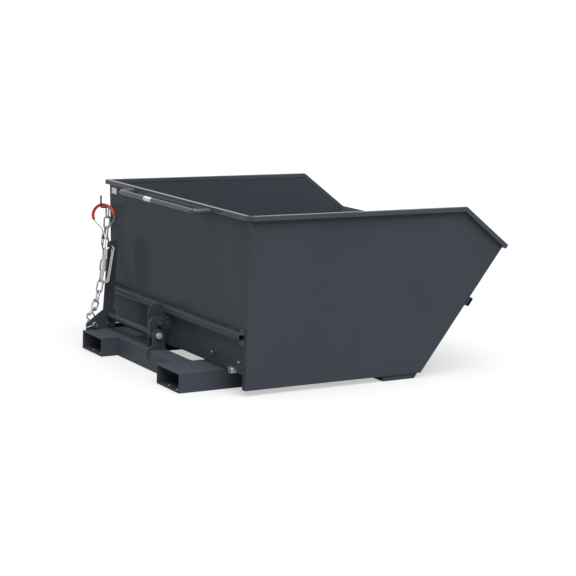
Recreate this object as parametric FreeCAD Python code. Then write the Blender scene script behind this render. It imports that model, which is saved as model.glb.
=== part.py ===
import FreeCAD, Part
import math
import os

V = FreeCAD.Vector

# Driving sizes in millimetres. X points the way the skip pours, Y to the lever side, Z up.
# While modelling, x = 0 is the rear foot of the side walls and z = 0 the ground.

# skip body: drafted sheet-steel walls
foot_width = 1214.0
side_flare = 24.0
back_flare = 12.0
skip_height = 716.0
skirt_gap = 23.0
foot_length = 840.5
front_angle = 53.4
level_rim_end = 1010.4
sheet = 3.0
floor_level = 83.0
return_width = 22.0
return_top_gap = 2.0

# rim bars round the top, and the stiffener across the front plate
rim_width = 20.0
rim_depth = 20.0
near_corner_cut = 30.0
far_corner_cut = 6.0
lip_overhang = 10.0
stiffener_width = 38.0
stiffener_depth = 15.0
stiffener_height = 300.0
stiffener_overhang = 8.0

# base frame
pocket_width = 194.0
pocket_height = 80.0
pocket_wall = 5.0
pocket_gap = 526.0
pocket_reach = 212.5
slot_length = 30.0
slot_width = 12.0
slot_spacing = 72.0
slot_inset = 24.0
rear_beam_size = 80.0
rear_beam_wall = 5.0
rear_beam_inset = 78.0
front_beam_start = 656.5
front_beam_length = 150.0
front_beam_height = 36.0
front_beam_wall = 4.0
front_beam_side_gap = 4.0
end_plate_sheet = 6.0
end_plate_nose = 6.0
pad_size = 60.0
pad_gap = 0.3
pad_rear = 60.0
pad_front = 560.0

# tipping pivot
pivot_x = 802.5
pivot_z = 62.0
pivot_diameter = 24.0
pivot_side = 400.0
ear_sheet = 12.0
ear_radius = 18.0
ear_foot = 70.0
lug_sheet = 8.0
lug_radius = 18.5
side_play = 1.0
lug_foot = 50.0
pin_head = 36.0
pin_head_depth = 6.0
pin_tail = 12.0
washer_depth = 3.0
cotter_diameter = 5.0
cotter_length = 40.0
running_gap = 0.05

# rear rail and push handle
rail_size = 30.0
rail_wall = 4.0
rail_round = 7.0
rail_level = 222.0
rail_plate_height = 58.0
rail_plate_width = 26.0
rail_plate_sheet = 5.0
rail_boss = 12.0
handle_diameter = 21.0
handle_wall = 2.5
handle_stand_off = 86.0
handle_rise = 2.0
handle_near = -334.0
handle_far = 352.0
handle_bend = 34.0

# latch: axle line across the base, brackets, hook, catch
latch_x = -90.0
latch_z = 140.0
bracket_sheet = 8.0
tall_bracket_y = 42.0
tall_bracket_rear = -101.0
tall_bracket_front = -38.0
tall_bracket_top = 260.0
tall_bracket_round = 34.0
low_bracket_y = -31.0
low_bracket_front = -55.0
low_bracket_round = 26.0
low_bracket_lap = 33.0
axle_diameter = 16.0
axle_end_gap = 14.0
nut_width = 24.0
nut_depth = 12.0
spacer_diameter = 26.0
hook_y = 9.0
hook_sheet = 16.0
hook_boss = 20.0
shaft_diameter = 26.0
shaft_tail = 4.0
catch_pin_x = -66.0
catch_pin_z = 186.0
catch_pin_diameter = 16.0
catch_sheet = 6.0
catch_clear = 3.0
catch_round = 14.0
catch_drop = 36.0
backing_sheet = 4.0
backing_near = -20.0
backing_far = 62.0
backing_bottom = 81.0
hook_clear = 1.2
nose_depth = 15.0
nose_cover = 6.0

# chain bracket with its bolt, and the release lever
chain_bracket_sheet = 10.0
chain_bracket_rear = -198.0
chain_bracket_front = -60.0
chain_bracket_top = 163.0
chain_bracket_step = 29.0
chain_bracket_shoulder = -124.0
bracket_bolt = 12.0
bracket_bolt_depth = 4.0
bracket_bolt_rear = -97.0
bracket_bolt_front = -78.0
bracket_bolt_drop = 36.0
bracket_bolt_step = 7.0
chain_bolt_x = -160.0
chain_bolt_z = 102.0
chain_bolt_diameter = 12.0
chain_nut = 22.0
chain_nut_depth = 8.0
bolt_nose = 12.0
clip_wire = 5.0
clip_radius = 11.0
clip_length = 46.0
clip_drop = 10.0
lever_gap = 4.0
lever_sheet = 10.0
lever_width = 46.0
lever_top_x = -70.0
lever_top_z = 447.0

# hook for rope and chain, small fittings on the back wall
peg_inset = 7.0
peg_drop = 99.0
peg_reach = 58.0
peg_rise = 50.0
peg_diameter = 8.0
peg_bend = 6.0
stub_inset = 73.0
stub_z = 96.0
stub_diameter = 28.0
stub_length = 30.0
stud_z = 135.0
stud_diameter = 9.0
stud_length = 18.0
stud_inset = 30.0
stud_spacing = 212.0
plate_inset = 23.0
plate_drop = 25.0
plate_width = 50.0
plate_height = 27.0
plate_sheet = 1.0

# chain
link_pitch = 48.0
link_wire = 8.0
link_width = 34.0
link_play = 0.3
chain_peg_x = -36.0
ring_turn = 26.0
ring_radius = 16.0
ring_wire = 7.0
ring_stem = 0.0
end_hook_gap = 0.6
chain_clear = 4.0

# wire rope
rope_diameter = 5.0
sleeve_diameter = 13.5
loop_height = 132.0
loop_x = -53.0
ferrule_diameter = 11.0
ferrule_length = 18.0
hank_turns = 4
hank_pitch = 5.7
hank_length = 150.0
hank_width = 32.0
hank_top_z = 440.0
hank_swing = 24.0
rope_fix_inset = 12.0
hank_near = 425.0
tie_width = 10.0
tie_wall = 1.5
strand_gap = 0.5

# Derived places
wall_rise = skip_height - skirt_gap
half_foot = foot_width / 2
slope_run = V(math.cos(math.radians(front_angle)), 0, math.sin(math.radians(front_angle)))
slope_out = V(slope_run.z, 0, -slope_run.x)
front_foot = V(foot_length, 0, skirt_gap)
rim_break = V(level_rim_end, 0, skip_height)
rim_foot = skip_height - rim_depth
handle_level = rim_foot + handle_rise
peg_y = half_foot - peg_inset
peg_level = rim_foot - peg_drop
plate_y = half_foot - plate_inset
plate_z = rim_foot - plate_drop
stub_y = half_foot - stub_inset
stud_near = stud_inset - half_foot
stud_mid = stud_near + stud_spacing
pocket_side = pocket_gap / 2 + pocket_width
pocket_front = front_beam_start
beam_rear = rear_beam_inset - pocket_reach
beam_front = beam_rear + rear_beam_size
beam_half = half_foot - sheet - front_beam_side_gap
lever_y = pocket_side + lever_gap
rope_fix_x = lever_top_x - rope_fix_inset
bracket_y = pocket_side - chain_bracket_sheet
end_hook_y = lever_y + lever_sheet + chain_clear + link_width / 2
chain_nut_y = end_hook_y + ring_wire / 2 + chain_clear


def wall_y(z):
    """Outer face of a side wall at height z."""
    return half_foot + side_flare * (z - skirt_gap) / wall_rise


def wall_x(z):
    """Rear face of the back wall at height z."""
    return -back_flare * (z - skirt_gap) / wall_rise


def slope_x(z, inset=0.0):
    """Front plate's outer face at height z, moved in by inset along its normal."""
    return front_foot.x + (z - skirt_gap) * slope_run.x / slope_run.z - inset / slope_run.z


def plate(points, push):
    """Flat plate: a polygon pushed along a vector."""
    wire = Part.makePolygon(list(points) + [points[0]])
    return Part.Face(wire).extrude(push)


def xz_plate(outline, y, depth):
    """Plate whose outline is given as (x, z) pairs, lying from y to y + depth."""
    return plate([V(x, y, z) for x, z in outline], V(0, depth, 0))


def rod(start, end, diameter):
    """Round bar between two points."""
    axis = end - start
    return Part.makeCylinder(diameter / 2, axis.Length, start, axis)


def block(x0, x1, y0, y1, z0, z1):
    return Part.makeBox(x1 - x0, y1 - y0, z1 - z0, V(x0, y0, z0))


def hexagon(centre, across, depth):
    """Hexagon nut blank with its axis along Y."""
    corner = across / math.sqrt(3)
    turns = [math.radians(60 * i) for i in range(6)]
    outline = [(centre.x + corner * math.cos(a), centre.z + corner * math.sin(a)) for a in turns]
    return xz_plate(outline, centre.y, depth)


def mirrored(shape):
    return shape.mirror(V(0, 0, 0), V(0, 1, 0))


def pair(shape):
    """A piece and its mirror image across the middle plane."""
    return Part.makeCompound([shape, mirrored(shape)])


def bent_path(points, radius):
    """Straight runs joined by tangent arcs of one radius."""
    edges = []
    last = points[0]
    for before, corner, after in zip(points, points[1:], points[2:]):
        into = (before - corner).normalize()
        out = (after - corner).normalize()
        half = math.acos(max(-1.0, min(1.0, into.dot(out)))) / 2
        cut = radius / math.tan(half)
        middle = (into + out).normalize()
        start = corner + into * cut
        end = corner + out * cut
        top = corner + middle * (radius / math.sin(half) - radius)
        edges.append(Part.LineSegment(last, start).toShape())
        edges.append(Part.Arc(start, top, end).toShape())
        last = end
    edges.append(Part.LineSegment(last, points[-1]).toShape())
    return Part.Wire(edges)


def tube(path, diameter):
    """Round tube swept along a wire."""
    first = path.Edges[0]
    start = first.valueAt(first.FirstParameter)
    axis = first.tangentAt(first.FirstParameter)
    ring = Part.Wire(Part.makeCircle(diameter / 2, start, axis))
    return path.makePipeShell([ring], True, False)


# Skip walls

def line_meet(point, run, height):
    """Point of a line in the XZ plane at a height."""
    return point + run * ((height - point.z) / run.z)


rim_low_break = line_meet(rim_break - slope_run * rim_depth, slope_out, rim_foot)
slope_reach = (rim_break - front_foot).dot(slope_run)
lip_top = front_foot + slope_run * slope_reach
wall_corner = lip_top - slope_run * rim_depth


def side_outline(points, inset):
    """Points on the drafted side wall, inset from its outer face."""
    return [V(p.x, wall_y(p.z) - inset, p.z) for p in points]


def side_wall():
    corners = [V(0, 0, skirt_gap), front_foot, wall_corner, rim_low_break,
               V(wall_x(rim_foot), 0, rim_foot)]
    wall = plate(side_outline(corners, sheet), V(0, sheet, 0))
    top = floor_level - return_top_gap
    inner = half_foot - sheet
    fold = block(0, sheet, inner - return_width, inner, skirt_gap, top)
    return wall.fuse(fold).removeSplitter()


def side_rim(corner_cut):
    rear = wall_x(rim_foot) + sheet - rim_width
    end = lip_top + slope_out * lip_overhang
    corners = [V(rear, 0, rim_foot), rim_low_break, end - slope_run * rim_depth, end, rim_break,
               V(rear, 0, skip_height)]
    bar = plate(side_outline(corners, sheet), V(0, rim_width, 0))
    return bar.cut(corner_wedge(corner_cut))


def corner_wedge(corner_cut):
    """Waste cut off the rim's outer rear corner."""
    spare = 10.0
    x = wall_x(rim_foot) + sheet - rim_width
    y = wall_y(skip_height) - sheet + rim_width
    corners = [V(x + corner_cut + spare, y + spare, rim_foot - spare),
               V(x - spare, y - corner_cut - spare, rim_foot - spare),
               V(x - spare, y + spare, rim_foot - spare)]
    return plate(corners, V(0, 0, rim_depth + 2 * spare))


def across(x, z, inset):
    """Two points across the skip at height z, inset from the side walls' outer faces."""
    return [V(x, wall_y(z) - inset, z), V(x, inset - wall_y(z), z)]


def cross_plate(low, high, inset, push):
    """Plate between the side walls from one (x, z) level to another."""
    left = across(low[0], low[1], inset)
    right = across(high[0], high[1], inset)
    return plate([left[0], left[1], right[1], right[0]], push)


def back_wall():
    low = (wall_x(floor_level), floor_level)
    return cross_plate(low, (wall_x(rim_foot), rim_foot), sheet, V(sheet, 0, 0))


def rear_rim():
    rear = wall_x(rim_foot) + sheet
    bar = cross_plate((rear, rim_foot), (rear, skip_height), sheet, V(-rim_width, 0, 0))
    return bar.cut(corner_wedge(far_corner_cut)).cut(mirrored(corner_wedge(near_corner_cut)))


def floor_plate():
    """Floor sheet, its front edge bevelled to lie on the front plate's inner face."""
    start = wall_x(floor_level) + sheet
    wide = wall_y(floor_level) - sheet
    top = floor_level + sheet
    outline = [(start, floor_level), (slope_x(floor_level, sheet), floor_level), (slope_x(top, sheet), top),
               (start, top)]
    return xz_plate(outline, -wide, 2 * wide)


def front_plate():
    low = (slope_x(floor_level), floor_level)
    return cross_plate(low, (lip_top.x, lip_top.z), sheet, slope_out * -sheet)


def front_lip():
    corner = lip_top - slope_run * rim_depth
    bar = cross_plate((corner.x, corner.z), (lip_top.x, lip_top.z), sheet, slope_out * lip_overhang)
    rim = side_rim(far_corner_cut)
    return bar.cut(rim).cut(mirrored(rim))


def front_stiffener():
    low = V(slope_x(stiffener_height), 0, stiffener_height)
    high = low + slope_run * stiffener_width
    return cross_plate((low.x, low.z), (high.x, high.z), -stiffener_overhang, slope_out * stiffener_depth)


# Fittings on the back wall, each trimmed to the wall's leaning rear face

root_spare = 6.0


def seat(shape):
    """Trim a fitting to the back wall's rear face."""
    low = (wall_x(0), 0)
    high = (wall_x(skip_height), skip_height)
    return shape.cut(cross_plate(low, high, 0, V(2 * root_spare, 0, 0)))


def rail_tube():
    x1 = wall_x(rail_level + rail_size)
    length = foot_width - 2 * rail_plate_sheet
    outer = block(x1 - rail_size, x1, -length / 2, length / 2, rail_level, rail_level + rail_size)
    runs = [e for e in outer.Edges if abs(e.tangentAt(e.FirstParameter).y) > 0.9]
    outer = outer.makeFillet(rail_round, runs)
    inner = block(x1 - rail_size + rail_wall, x1 - rail_wall, -length / 2, length / 2,
                  rail_level + rail_wall, rail_level + rail_size - rail_wall)
    return outer.cut(inner)


def rail_end_plate():
    """End plate of the rail, with a square hole and two round bosses."""
    x1 = wall_x(rail_level + rail_size)
    y = half_foot - rail_plate_sheet
    middle = rail_level + rail_size / 2
    low = middle - rail_plate_height / 2
    high = low + rail_plate_height
    body = block(x1 - rail_plate_width, x1, y, half_foot, low + rail_boss / 2, high - rail_boss / 2)
    hole = rail_size - 2 * rail_wall
    body = body.cut(block(x1 - rail_size + rail_wall, x1 - rail_wall, y, half_foot,
                          middle - hole / 2, middle + hole / 2))
    boss_x = x1 - rail_plate_width / 2
    for z in (low + rail_boss / 2, high - rail_boss / 2):
        body = body.fuse(rod(V(boss_x, y, z), V(boss_x, half_foot, z), rail_boss * 2))
    keep = block(x1 - rail_plate_width, x1, y, half_foot, low - rail_boss, high + rail_boss)
    return seat(body.common(keep).removeSplitter())


def push_handle():
    """Bent tube, its ends notched round the rear rim and welded to rim and wall."""
    root = wall_x(rim_foot) + root_spare
    grip = wall_x(rim_foot) - handle_stand_off
    stops = [V(root, handle_near, handle_level), V(grip, handle_near, handle_level),
             V(grip, handle_far, handle_level), V(root, handle_far, handle_level)]
    path = bent_path(stops, handle_bend)
    outer = tube(path, handle_diameter)
    bar = outer.cut(tube(path, handle_diameter - 2 * handle_wall))
    return seat(bar.cut(rear_rim()))


def rope_peg():
    root = V(wall_x(peg_level) + root_spare, peg_y, peg_level)
    heel = V(wall_x(peg_level) - peg_reach, peg_y, peg_level)
    tip = heel + V(0, 0, peg_rise)
    bar = tube(bent_path([root, heel, tip], peg_bend), peg_diameter)
    return seat(bar.fuse(Part.makeSphere(peg_diameter / 2, tip)).removeSplitter())


def stop_stub():
    root = V(root_spare, -stub_y, stub_z)
    return seat(rod(root, V(wall_x(stub_z) - stub_length, -stub_y, stub_z), stub_diameter))


def wall_stud(y):
    root = V(root_spare, y, stud_z)
    return seat(rod(root, V(wall_x(stud_z) - stud_length, y, stud_z), stud_diameter))


def blank_plate():
    rear = wall_x(plate_z)
    return seat(block(rear - plate_sheet, rear + plate_sheet,
                      plate_y - plate_width / 2, plate_y + plate_width / 2,
                      plate_z - plate_height / 2, plate_z + plate_height / 2))


# Tipping pivot

def lug(y):
    """Lug under the floor, round about the pivot pin."""
    outline = [(pivot_x - lug_foot / 2, floor_level), (pivot_x + lug_foot / 2, floor_level),
               (pivot_x + lug_radius, pivot_z), (pivot_x - lug_radius, pivot_z)]
    body = xz_plate(outline, y, lug_sheet)
    eye = rod(V(pivot_x, y, pivot_z), V(pivot_x, y + lug_sheet, pivot_z), 2 * lug_radius)
    bore = rod(V(pivot_x, y, pivot_z), V(pivot_x, y + lug_sheet, pivot_z), pivot_diameter + 2 * running_gap)
    return body.fuse(eye).cut(bore).removeSplitter()


def pivot_lugs():
    inner = pivot_side - ear_sheet / 2 - side_play - lug_sheet
    outer = pivot_side + ear_sheet / 2 + side_play
    lugs = []
    for y in (inner, outer):
        lugs += [lug(y), mirrored(lug(y))]
    return Part.makeCompound(lugs)


def pivot_ear():
    y = pivot_side - ear_sheet / 2
    outline = [(pivot_x - ear_foot / 2, front_beam_height),
               (pivot_x + ear_foot / 2 - ear_radius, front_beam_height),
               (pivot_x + ear_radius, pivot_z), (pivot_x - ear_radius, pivot_z)]
    body = xz_plate(outline, y, ear_sheet)
    start = V(pivot_x, y, pivot_z)
    end = V(pivot_x, y + ear_sheet, pivot_z)
    bore = rod(start, end, pivot_diameter + 2 * running_gap)
    return body.fuse(rod(start, end, 2 * ear_radius)).cut(bore).removeSplitter()


pin_start = pivot_side - ear_sheet / 2 - side_play - lug_sheet - side_play
pin_end = pivot_side + ear_sheet / 2 + side_play + lug_sheet + side_play + washer_depth + pin_tail
cotter_y = pin_end - pin_tail + cotter_diameter / 2 + side_play / 2


def pivot_pin():
    body = rod(V(pivot_x, pin_start, pivot_z), V(pivot_x, pin_end, pivot_z), pivot_diameter)
    head = rod(V(pivot_x, pin_start - pin_head_depth, pivot_z), V(pivot_x, pin_start, pivot_z), pin_head)
    hole = rod(V(pivot_x - pin_head, cotter_y, pivot_z), V(pivot_x + pin_head, cotter_y, pivot_z),
               cotter_diameter + 2 * running_gap)
    return body.fuse(head).cut(hole).removeSplitter()


def pivot_washer():
    y = pin_end - pin_tail - washer_depth
    disc = rod(V(pivot_x, y, pivot_z), V(pivot_x, y + washer_depth, pivot_z), pin_head)
    return disc.cut(rod(V(pivot_x, y, pivot_z), V(pivot_x, y + washer_depth, pivot_z),
                        pivot_diameter + 2 * running_gap))


def split_pin():
    middle = V(pivot_x, cotter_y, pivot_z)
    return rod(middle - V(cotter_length / 2, 0, 0), middle + V(cotter_length / 2, 0, 0), cotter_diameter)


# Base frame

def fork_pocket():
    """Fork pocket on the lever side: open tube with two slots in its floor."""
    y0 = pocket_gap / 2
    y1 = pocket_side
    outer = block(-pocket_reach, pocket_front, y0, y1, 0, pocket_height)
    inner = block(-pocket_reach, pocket_front, y0 + pocket_wall, y1 - pocket_wall,
                  pocket_wall, pocket_height - pocket_wall)
    body = outer.cut(inner)
    middle = (y0 + y1) / 2
    x = slot_inset - pocket_reach
    for y in (middle - slot_spacing / 2, middle + slot_spacing / 2):
        half = (slot_length - slot_width) / 2
        body = body.cut(block(x - slot_width / 2, x + slot_width / 2, y - half, y + half, 0, pocket_wall))
        for end in (y - half, y + half):
            body = body.cut(rod(V(x, end, 0), V(x, end, pocket_wall), slot_width))
    return body


def rear_crossbeam():
    half = pocket_gap / 2
    outer = block(beam_rear, beam_front, -half, half, 0, rear_beam_size)
    inner = block(beam_rear + rear_beam_wall, beam_front - rear_beam_wall, -half, half,
                  rear_beam_wall, rear_beam_size - rear_beam_wall)
    return outer.cut(inner)


def front_crossbeam():
    x1 = front_beam_start + front_beam_length
    half = beam_half - end_plate_sheet
    outer = block(front_beam_start, x1, -half, half, 0, front_beam_height)
    inner = block(front_beam_start + front_beam_wall, x1 - front_beam_wall, -half, half,
                  front_beam_wall, front_beam_height - front_beam_wall)
    return outer.cut(inner)


def beam_end_plate():
    """End plate of the front crossbeam, with its nose cut to the slope of the front plate."""
    x1 = front_beam_start + front_beam_length
    nose = x1 + end_plate_nose
    top = nose + front_beam_height * slope_run.x / slope_run.z
    outline = [(front_beam_start, 0), (nose, 0), (top, front_beam_height),
               (front_beam_start, front_beam_height)]
    return xz_plate(outline, beam_half - end_plate_sheet, end_plate_sheet)


def rest_pad(x):
    y = (pocket_gap + pocket_width) / 2
    return block(x - pad_size / 2, x + pad_size / 2, y - pad_size / 2, y + pad_size / 2,
                 pocket_height, floor_level - pad_gap)


# Latch

def axle_bore(y, depth):
    return rod(V(latch_x, y, latch_z), V(latch_x, y + depth, latch_z), axle_diameter + 2 * running_gap)


def tall_bracket():
    """Tall bracket plate on the rear crossbeam, with a rounded top rear corner."""
    outline = [(tall_bracket_rear, rear_beam_size), (tall_bracket_front, rear_beam_size),
               (tall_bracket_front, tall_bracket_top), (tall_bracket_rear, tall_bracket_top)]
    outline[1] = (beam_front, rear_beam_size)
    outline.insert(2, (tall_bracket_front, rear_beam_size + tall_bracket_round))
    body = xz_plate(outline, tall_bracket_y, bracket_sheet)
    corner = [e for e in body.Edges if edge_at(e, tall_bracket_rear, tall_bracket_top)]
    body = body.makeFillet(tall_bracket_round, corner)
    return body.cut(axle_bore(tall_bracket_y, bracket_sheet))


def edge_at(edge, x, z):
    """True for an edge along Y at the given x and z."""
    a = edge.valueAt(edge.FirstParameter)
    b = edge.valueAt(edge.LastParameter)
    return all(abs(p.x - x) < 0.01 and abs(p.z - z) < 0.01 for p in (a, b))


def low_bracket():
    """Low bracket plate: round head over the axle, foot lapped over the crossbeam's rear face."""
    lap = beam_rear - bracket_sheet
    outline = [(low_bracket_front, rear_beam_size), (latch_x + low_bracket_round, latch_z),
               (latch_x - low_bracket_round, latch_z),
               (latch_x - low_bracket_round, rear_beam_size + 2 * bracket_sheet),
               (lap, rear_beam_size + bracket_sheet / 4), (lap, rear_beam_size - low_bracket_lap),
               (beam_rear, rear_beam_size - low_bracket_lap), (beam_rear, rear_beam_size)]
    body = xz_plate(outline, low_bracket_y, bracket_sheet)
    start = V(latch_x, low_bracket_y, latch_z)
    head = rod(start, start + V(0, bracket_sheet, 0), 2 * low_bracket_round)
    return body.fuse(head).cut(axle_bore(low_bracket_y, bracket_sheet)).removeSplitter()


shaft_start = tall_bracket_y + bracket_sheet + side_play
shaft_end = lever_y + lever_sheet + shaft_tail
axle_start = low_bracket_y - axle_end_gap


def latch_shaft():
    body = rod(V(latch_x, shaft_start, latch_z), V(latch_x, shaft_end, latch_z), shaft_diameter)
    depth = axle_diameter
    return body.cut(axle_bore(shaft_start, depth))


def latch_axle():
    end = V(latch_x, shaft_start + axle_diameter, latch_z)
    return rod(V(latch_x, axle_start, latch_z), end, axle_diameter)


def axle_nut():
    y = low_bracket_y - nut_depth - running_gap
    return hexagon(V(latch_x, y, latch_z), nut_width, nut_depth).cut(axle_bore(y, nut_depth))


def axle_spacer():
    """Zinc bush between the latch hook and the tall bracket."""
    y = hook_y + hook_sheet
    depth = tall_bracket_y - side_play - y
    bush = rod(V(latch_x, y, latch_z), V(latch_x, y + depth, latch_z), spacer_diameter)
    return bush.cut(axle_bore(y, depth))


def latch_hook():
    """Hook plate on the axle, its nose over the catch pin."""
    pin_rear = catch_pin_x - catch_pin_diameter / 2 - hook_clear
    pin_top = catch_pin_z + catch_pin_diameter / 2 + hook_clear
    nose_tip = catch_pin_x + nose_cover
    outline = [(latch_x - hook_boss, latch_z), (latch_x - hook_boss, pin_top),
               (latch_x - hook_boss + nose_depth, pin_top + nose_depth),
               (nose_tip - nose_depth / 2, pin_top + nose_depth),
               (nose_tip, pin_top + nose_depth / 2), (nose_tip, pin_top), (pin_rear, pin_top),
               (pin_rear, catch_pin_z - catch_pin_diameter), (latch_x + hook_boss, latch_z)]
    body = xz_plate(outline, hook_y, hook_sheet)
    boss = rod(V(latch_x, hook_y, latch_z), V(latch_x, hook_y + hook_sheet, latch_z), 2 * hook_boss)
    return body.fuse(boss).cut(axle_bore(hook_y, hook_sheet)).removeSplitter()


def release_lever():
    """Flat bar on the shaft's end, leaning to the wall, with a round top."""
    foot = V(latch_x, lever_y, latch_z)
    head = V(lever_top_x, lever_y, lever_top_z)
    run = (head - foot).normalize()
    side = V(run.z, 0, -run.x) * (lever_width / 2)
    body = plate([foot - side, foot + side, head + side, head - side], V(0, lever_sheet, 0))
    push = V(0, lever_sheet, 0)
    for end in (foot, head):
        body = body.fuse(rod(end, end + push, lever_width))
    bore = rod(foot, foot + push, shaft_diameter + 2 * running_gap)
    return body.cut(bore).removeSplitter()


def catch_plate(y):
    """Catch plate under the rail, sloping down to the catch pin."""
    root = wall_x(rail_level) - backing_sheet
    top = rail_level - side_play
    outline = [(root, top), (catch_pin_x, catch_pin_z + catch_round),
               (catch_pin_x, catch_pin_z - catch_round), (root, catch_pin_z - catch_drop)]
    body = xz_plate(outline, y, catch_sheet)
    start = V(catch_pin_x, y, catch_pin_z)
    end = V(catch_pin_x, y + catch_sheet, catch_pin_z)
    body = body.fuse(rod(start, end, 2 * catch_round))
    return body.cut(rod(start, end, catch_pin_diameter + 2 * running_gap)).removeSplitter()


catch_near = hook_y - catch_clear - catch_sheet
catch_far = hook_y + hook_sheet + catch_clear


def catch_pin():
    return rod(V(catch_pin_x, catch_near - side_play, catch_pin_z),
               V(catch_pin_x, catch_far + catch_sheet + side_play, catch_pin_z), catch_pin_diameter)


def catch_backing():
    low = (wall_x(backing_bottom), backing_bottom)
    high = (wall_x(rail_level), rail_level - side_play / 2)
    corners = [V(low[0], backing_near, low[1]), V(low[0], backing_far, low[1]),
               V(high[0], backing_far, high[1]), V(high[0], backing_near, high[1])]
    return plate(corners, V(-backing_sheet, 0, 0))


def chain_bracket():
    """Bracket on the lever-side pocket: it bears the shaft and holds the chain bolt."""
    outline = [(chain_bracket_rear, pocket_height), (chain_bracket_front, pocket_height),
               (chain_bracket_front, chain_bracket_top), (chain_bracket_shoulder, chain_bracket_top),
               (chain_bracket_rear, pocket_height + chain_bracket_step)]
    body = xz_plate(outline, bracket_y, chain_bracket_sheet)
    push = V(0, chain_bracket_sheet, 0)
    hole = V(latch_x, bracket_y, latch_z)
    body = body.cut(rod(hole, hole + push, shaft_diameter + 2 * running_gap))
    hole = V(chain_bolt_x, bracket_y, chain_bolt_z)
    return body.cut(rod(hole, hole + push, chain_bolt_diameter + 2 * running_gap))


clip_y = bracket_y - bolt_nose / 2
clip_run = V(-clip_length, 0, -clip_drop)


def chain_bolt():
    """Long bolt through the bracket: its nose holds a clip, its shank runs out past the lever."""
    end = V(chain_bolt_x, chain_nut_y + chain_nut_depth + chain_clear, chain_bolt_z)
    shank = rod(V(chain_bolt_x, bracket_y - bolt_nose, chain_bolt_z), end, chain_bolt_diameter)
    middle = V(chain_bolt_x, clip_y, chain_bolt_z)
    return shank.cut(rod(middle - clip_run, middle + clip_run, clip_wire + 2 * running_gap))


def bolt_clip():
    """Ring clip: a tapered leg through the bolt's nose and a ring round the nose."""
    middle = V(chain_bolt_x, clip_y, chain_bolt_z)
    heel = middle - V(clip_run).normalize() * clip_radius
    shoulder = middle + clip_run * 0.5
    leg = rod(heel, shoulder, clip_wire)
    point = Part.makeCone(clip_wire / 2, clip_wire / 6, clip_run.Length / 2, shoulder, clip_run)
    ring = Part.makeTorus(clip_radius, clip_wire / 2, middle, V(0, 1, 0))
    return ring.fuse(leg.fuse(point).removeSplitter())


def chain_bolt_nut():
    start = V(chain_bolt_x, chain_nut_y, chain_bolt_z)
    nut = hexagon(start, chain_nut, chain_nut_depth)
    return nut.cut(rod(start, start + V(0, chain_nut_depth, 0), chain_bolt_diameter + 2 * running_gap))


def bracket_bolts():
    """Two hexagon heads on the bracket's near face, below the shaft."""
    high = latch_z - bracket_bolt_drop
    places = [V(bracket_bolt_rear, bracket_y - bracket_bolt_depth, high),
              V(bracket_bolt_front, bracket_y - bracket_bolt_depth, high - bracket_bolt_step)]
    return Part.makeCompound([hexagon(place, bracket_bolt, bracket_bolt_depth) for place in places])


# Chain and its end hook

ring_centre = V(chain_bolt_x, end_hook_y,
                chain_bolt_z + chain_bolt_diameter / 2 + end_hook_gap + ring_wire + ring_stem + ring_radius)
peg_top = V(chain_peg_x, peg_y, peg_level + peg_diameter / 2)
ring_top = ring_centre + V(0, 0, ring_radius)
chain_high = peg_top + V(2, 8, -215)
chain_low = ring_top + V(90, 110, 10)
chain_lead = V(-0.43, -0.74, -0.90).normalize() * (ring_wire / 2 + 5 * link_play)
chain_hang = [peg_top, chain_high, chain_low, ring_top + chain_lead]


def chain_point(t):
    """Slack chain line: a cubic curve from the hook to the end hook's ring."""
    s = 1 - t
    weights = (s ** 3, 3 * s * s * t, 3 * s * t * t, t ** 3)
    point = V(0, 0, 0)
    for weight, control in zip(weights, chain_hang):
        point = point + control * weight
    return point


def chain_joints():
    """Places where links meet: an odd number of links, so that the first and the last lie alike."""
    steps = 400
    line = [chain_point(i / steps) for i in range(steps + 1)]
    length = sum((b - a).Length for a, b in zip(line, line[1:]))
    count = 2 * round((length / link_pitch - 1) / 2) + 1
    gap = length / count
    joints = [line[0]]
    run = 0.0
    for a, b in zip(line, line[1:]):
        run += (b - a).Length
        if run >= gap * len(joints) and len(joints) < count:
            joints.append(b)
    joints.append(line[-1])
    return joints


def chain_link(start, end, side):
    """One long link between two joints, as wide as the link along its side direction."""
    axis = (end - start).normalize()
    half_width = (link_width - link_wire) / 2
    low = start - axis * (link_wire / 2 + link_play)
    high = end + axis * (link_wire / 2 + link_play)
    a = low + axis * half_width
    b = high - axis * half_width
    edges = [Part.LineSegment(a - side * half_width, b - side * half_width).toShape(),
             Part.Arc(b - side * half_width, high, b + side * half_width).toShape(),
             Part.LineSegment(b + side * half_width, a + side * half_width).toShape(),
             Part.Arc(a + side * half_width, low, a - side * half_width).toShape()]
    return tube(Part.Wire(edges), link_wire)


def safety_chain():
    """Links hung from the peg, each turned a quarter against the one before."""
    joints = chain_joints()
    links = []
    side = V(1, 0, 0)
    for start, end in zip(joints, joints[1:]):
        side = (end - start).cross(side).normalize()
        links.append(chain_link(start, end, side))
    return Part.makeCompound(links)


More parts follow.
